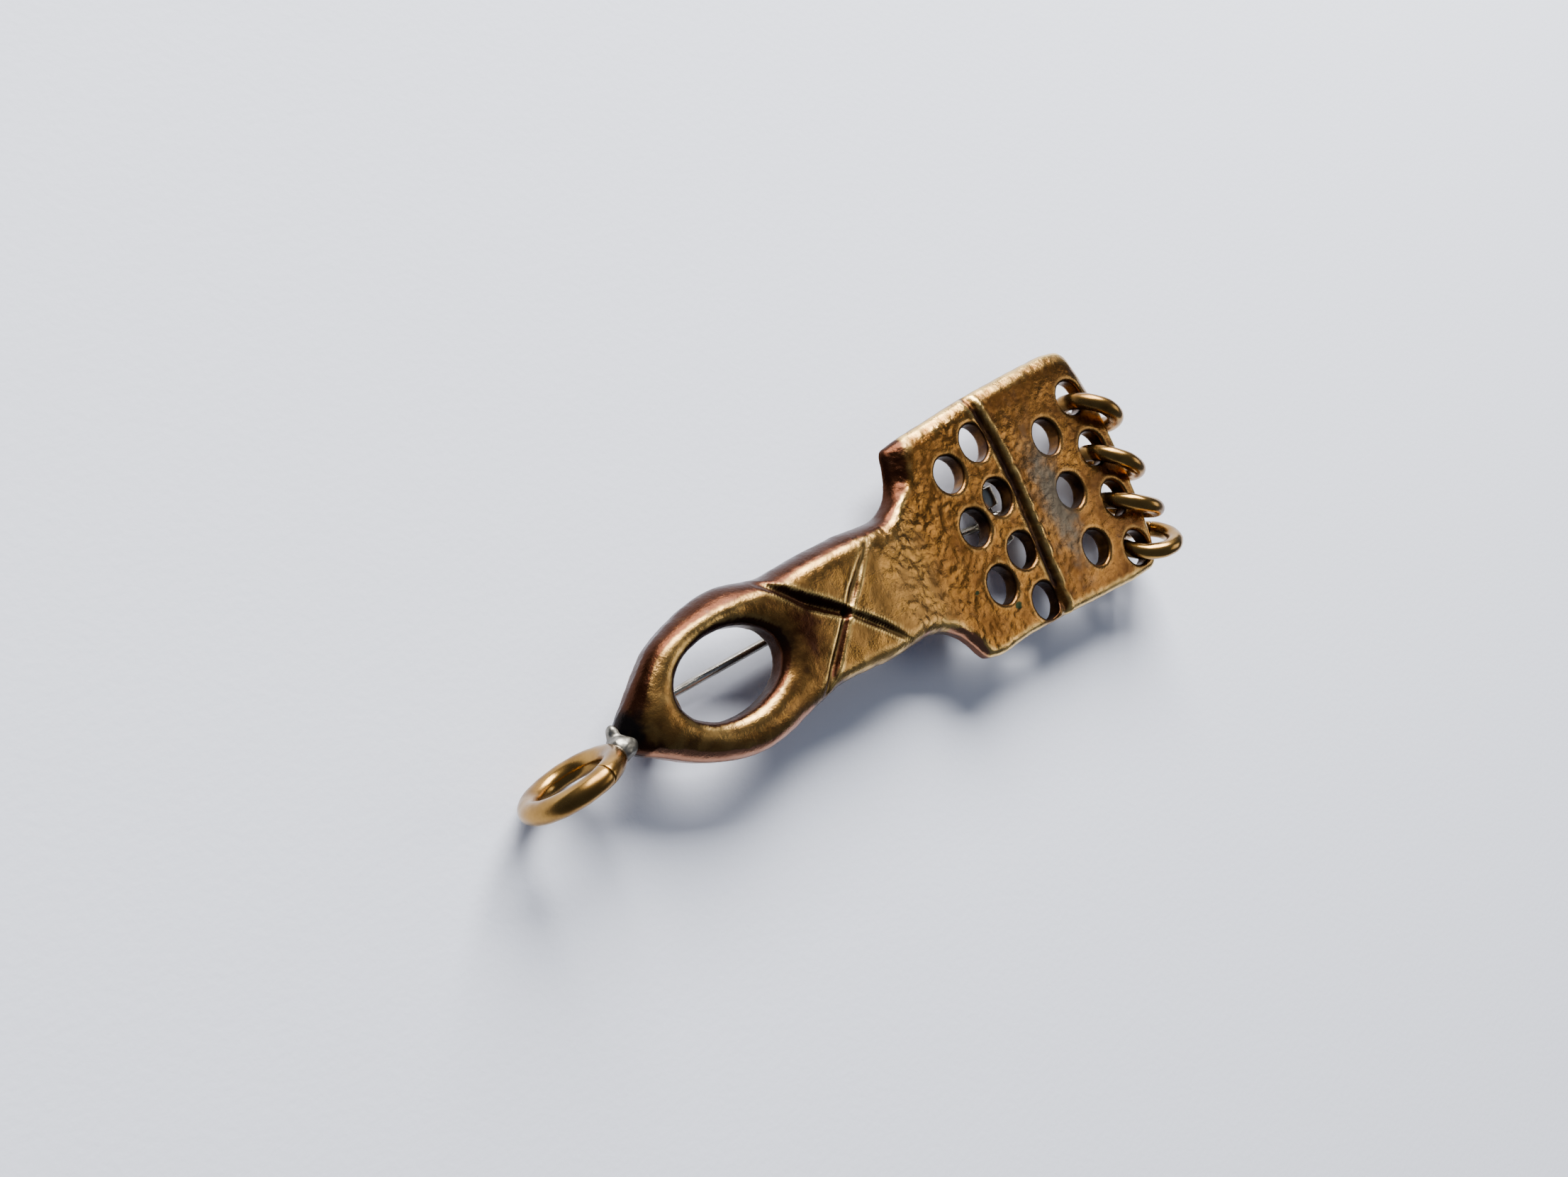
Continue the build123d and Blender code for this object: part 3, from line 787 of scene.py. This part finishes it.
def makeHinge():
    for side in ("left", "right"):
        node = "hinge_knuckle_" + side
        low, high = (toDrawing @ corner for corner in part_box(node))
        half, b, c = (high.y - low.y) / 2, hinge["bevel"], hinge["boreBevel"]
        r, bore = hinge["tubeRadius"], hinge["bore"]
        profile = [(bore, -half + c), (bore + c, -half), (r - b, -half), (r - b * 0.3, -half + b * 0.3),
                   (r, -half + b), (r, half - b), (r - b * 0.3, half - b * 0.3), (r - b, half),
                   (bore + c, half), (bore, half - c)]
        tube = turned(node + "_tube", profile, middleOf(node))
        place(tube, "holder", "hinge_nickel", hingeNickel, node)
    low, high = (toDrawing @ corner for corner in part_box("hinge_rivet"))
    half, rise, head = (high.y - low.y) / 2, hinge["headRise"], hinge["headRadius"]
    end = [(0.0, half), (head * 0.45, half - rise * 0.12), (head * 0.8, half - rise * 0.42),
           (head, half - rise * 0.85), (head * 0.97, half - rise), (hinge["rivetRadius"], half - rise)]
    profile = end + [(r, -a) for r, a in reversed(end)]
    place(turned("hinge_rivet_wire", profile, hingeMiddle, closed=False), "holder", "pin_steel", pinSteel,
          "hinge_rivet")


makeHinge()


softParts = {
    # width and segments of the rounded corners; wobble in mm, and the scale of the noise behind it
    "catch": {"piece": "catch_strip", "slot": "catch_bronze", "material": catchBronze,
              "width": 0.12, "segments": 2, "wobble": 0.03, "scale": 1.3},
    "catch_solder": {"piece": "catch_solder_film", "slot": "solder", "material": solderGrey,
                     "width": 0.04, "segments": 2, "wobble": 0.02, "scale": 2.0},
}


def softened(node):
    # a merged copy of the CAD solid with its corners rounded and its faces a little uneven
    values = softParts[node]
    flatAngle, sharpAngle, longEdge = math.radians(2), math.radians(35), 0.5
    bm = bmesh.new()
    bm.from_mesh(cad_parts[node].data)
    bmesh.ops.transform(bm, matrix=toDrawing, verts=bm.verts)
    bmesh.ops.remove_doubles(bm, verts=bm.verts, dist=1e-3)
    bmesh.ops.dissolve_limit(bm, angle_limit=flatAngle, verts=bm.verts, edges=bm.edges)
    sharp = [e for e in bm.edges if e.is_manifold and e.calc_face_angle() > sharpAngle]
    bmesh.ops.bevel(bm, geom=sharp, offset=values["width"], offset_type="OFFSET",
                    segments=values["segments"], profile=0.5, affect="EDGES", material=-1,
                    clamp_overlap=True)
    bmesh.ops.triangulate(bm, faces=[f for f in bm.faces if len(f.verts) > 4])
    long = [e for e in bm.edges if e.calc_length() > longEdge]
    bmesh.ops.subdivide_edges(bm, edges=long, cuts=2, use_grid_fill=True)
    bm.normal_update()
    for v in bm.verts:
        v.co += v.normal * noise.noise(v.co * values["scale"]) * values["wobble"]
    piece = finishMesh(bm, values["piece"])
    return place(piece, "holder", values["slot"], values["material"], node)


for softNode in softParts:
    softened(softNode)

solders = {
    "voxel": 0.11,
    # each lump: middle, then its half sizes, in drawing millimetres
    "tip": [((-24.8, -0.75, -0.8), (1.15, 1.15, 1.15)), ((-24.3, -0.8, -0.5), (1.0, 0.85, 0.75)),
            ((-24.2, -1.2, -1.0), (1.2, 0.6, 0.6)), ((-24.6, 0.3, -1.1), (0.6, 0.95, 0.6))],
    # passes of smoothing, height of the lumps left in mm, and their scale
    "tip_solder": {"piece": "tip_solder_blob", "smooths": 7, "wobble": 0.06},
    "hinge_solder": {"piece": "hinge_solder_fillets", "smooths": 4, "wobble": 0.1},
    "wobbleScale": 2.2,
}


def molten(bm, node):
    # runs separate lumps together into one smooth lumpy skin
    name = solders[node]["piece"]
    mesh = bpy.data.meshes.new(name)
    bm.to_mesh(mesh)
    bm.free()
    lump = bpy.data.objects.new(name, mesh)
    bpy.context.scene.collection.objects.link(lump)
    remesh = lump.modifiers.new("skin", "REMESH")
    remesh.mode = "VOXEL"
    remesh.voxel_size = solders["voxel"]
    skin = bpy.data.meshes.new_from_object(lump.evaluated_get(bpy.context.evaluated_depsgraph_get()))
    bpy.data.objects.remove(lump)
    bm = bmesh.new()
    bm.from_mesh(skin)
    for _ in range(solders[node]["smooths"]):
        bmesh.ops.smooth_vert(bm, verts=bm.verts, factor=0.5, use_axis_x=True, use_axis_y=True,
                              use_axis_z=True)
    bm.normal_update()
    for v in bm.verts:
        v.co += v.normal * noise.noise(v.co * solders["wobbleScale"]) * solders[node]["wobble"]
    return place(finishMesh(bm, name), "holder", "solder", solderGrey, node)


def makeTipSolder():
    bm = bmesh.new()
    for middle, half in solders["tip"]:
        bmesh.ops.create_icosphere(bm, subdivisions=3, radius=1.0,
                                   matrix=Matrix.Translation(middle) @ Matrix.Diagonal((*half, 1)))
    molten(bm, "tip_solder")


def makeHingeSolder():
    bm = bmesh.new()
    bm.from_mesh(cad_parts["hinge_solder"].data)
    bmesh.ops.transform(bm, matrix=toDrawing, verts=bm.verts)
    bmesh.ops.remove_doubles(bm, verts=bm.verts, dist=1e-3)
    molten(bm, "hinge_solder")


makeTipSolder()
makeHingeSolder()
print("hinge, catch and solder ready")

# Floor, light and camera

setting = {
    "floorSize": 1.6, "paper": (0.82, 0.86, 0.97, 1),
    "fibreScale": 1500.0, "fibreDepth": 0.02,
    # lamps in metres and watts
    "lamps": {
        "window": {"at": (0.20, 0.46, 0.32), "size": (0.42, 0.34), "power": 15.0,
                   "colour": (1.0, 0.985, 0.97)},
        "farWall": {"at": (0.52, -0.20, 0.44), "size": (0.34, 0.25), "power": 0.75,
                    "colour": (1.0, 0.97, 0.92)}},
    "sky": (0.50, 0.60, 0.85, 1), "skyStrength": 0.20,
    # the camera's place in drawing millimetres, and its axes
    "cameraAt": (-74.870, 12.459, 95.956), "lens": 32.55,
    "right": (0.71320546, -0.42546193, 0.55706384), "up": (0.38117073, 0.90235257, 0.20116836),
    "forward": (0.58825747, -0.06886206, -0.80573641),
}


def makeSetting():
    bm = bmesh.new()
    bmesh.ops.create_grid(bm, x_segments=2, y_segments=2, size=setting["floorSize"] / 2)
    mesh = bpy.data.meshes.new("paper")
    bm.to_mesh(mesh)
    bm.free()
    floor = bpy.data.objects.new("paper", mesh)
    bpy.context.scene.collection.objects.link(floor)
    material = bpy.data.materials.new("paper")
    material.use_nodes = True
    nodes, links = material.node_tree.nodes, material.node_tree.links
    shader = nodes["Principled BSDF"]
    shader.inputs["Base Color"].default_value = setting["paper"]
    shader.inputs["Roughness"].default_value = 0.85
    fibres = nodes.new("ShaderNodeTexNoise")
    fibres.inputs["Scale"].default_value = setting["fibreScale"]
    bump = nodes.new("ShaderNodeBump")
    bump.inputs["Distance"].default_value = setting["fibreDepth"] * mm
    coords = nodes.new("ShaderNodeTexCoord")
    links.new(coords.outputs["Object"], fibres.inputs["Vector"])
    links.new(fibres.outputs["Fac"], bump.inputs["Height"])
    links.new(bump.outputs["Normal"], shader.inputs["Normal"])
    mesh.materials.append(material)
    for name, values in setting["lamps"].items():
        lamp = bpy.data.lights.new(name, "AREA")
        lamp.shape = "RECTANGLE"
        lamp.size, lamp.size_y = values["size"]
        lamp.energy = values["power"]
        lamp.color = values["colour"]
        light = bpy.data.objects.new(name, lamp)
        light.location = values["at"]
        light.rotation_mode = "QUATERNION"
        light.rotation_quaternion = (-Vector(values["at"])).to_track_quat("-Z", "Y")
        bpy.context.scene.collection.objects.link(light)
    world = bpy.data.worlds.new("room")
    world.use_nodes = True
    background = world.node_tree.nodes["Background"]
    background.inputs["Color"].default_value = setting["sky"]
    background.inputs["Strength"].default_value = setting["skyStrength"]
    bpy.context.scene.world = world
    lens = bpy.data.cameras.new("camera")
    lens.lens = setting["lens"]
    lens.sensor_width = 36.0
    lens.clip_start, lens.clip_end = 0.005, 10.0
    camera = bpy.data.objects.new("camera", lens)
    right, up, forward = (Vector(setting[key]) for key in ("right", "up", "forward"))
    camera.matrix_world = Matrix.Translation(toFrame @ Vector(setting["cameraAt"])) @ Matrix(
        (right, up, -forward)).transposed().to_4x4()
    bpy.context.scene.collection.objects.link(camera)
    bpy.context.scene.camera = camera


makeSetting()
print("setting ready")
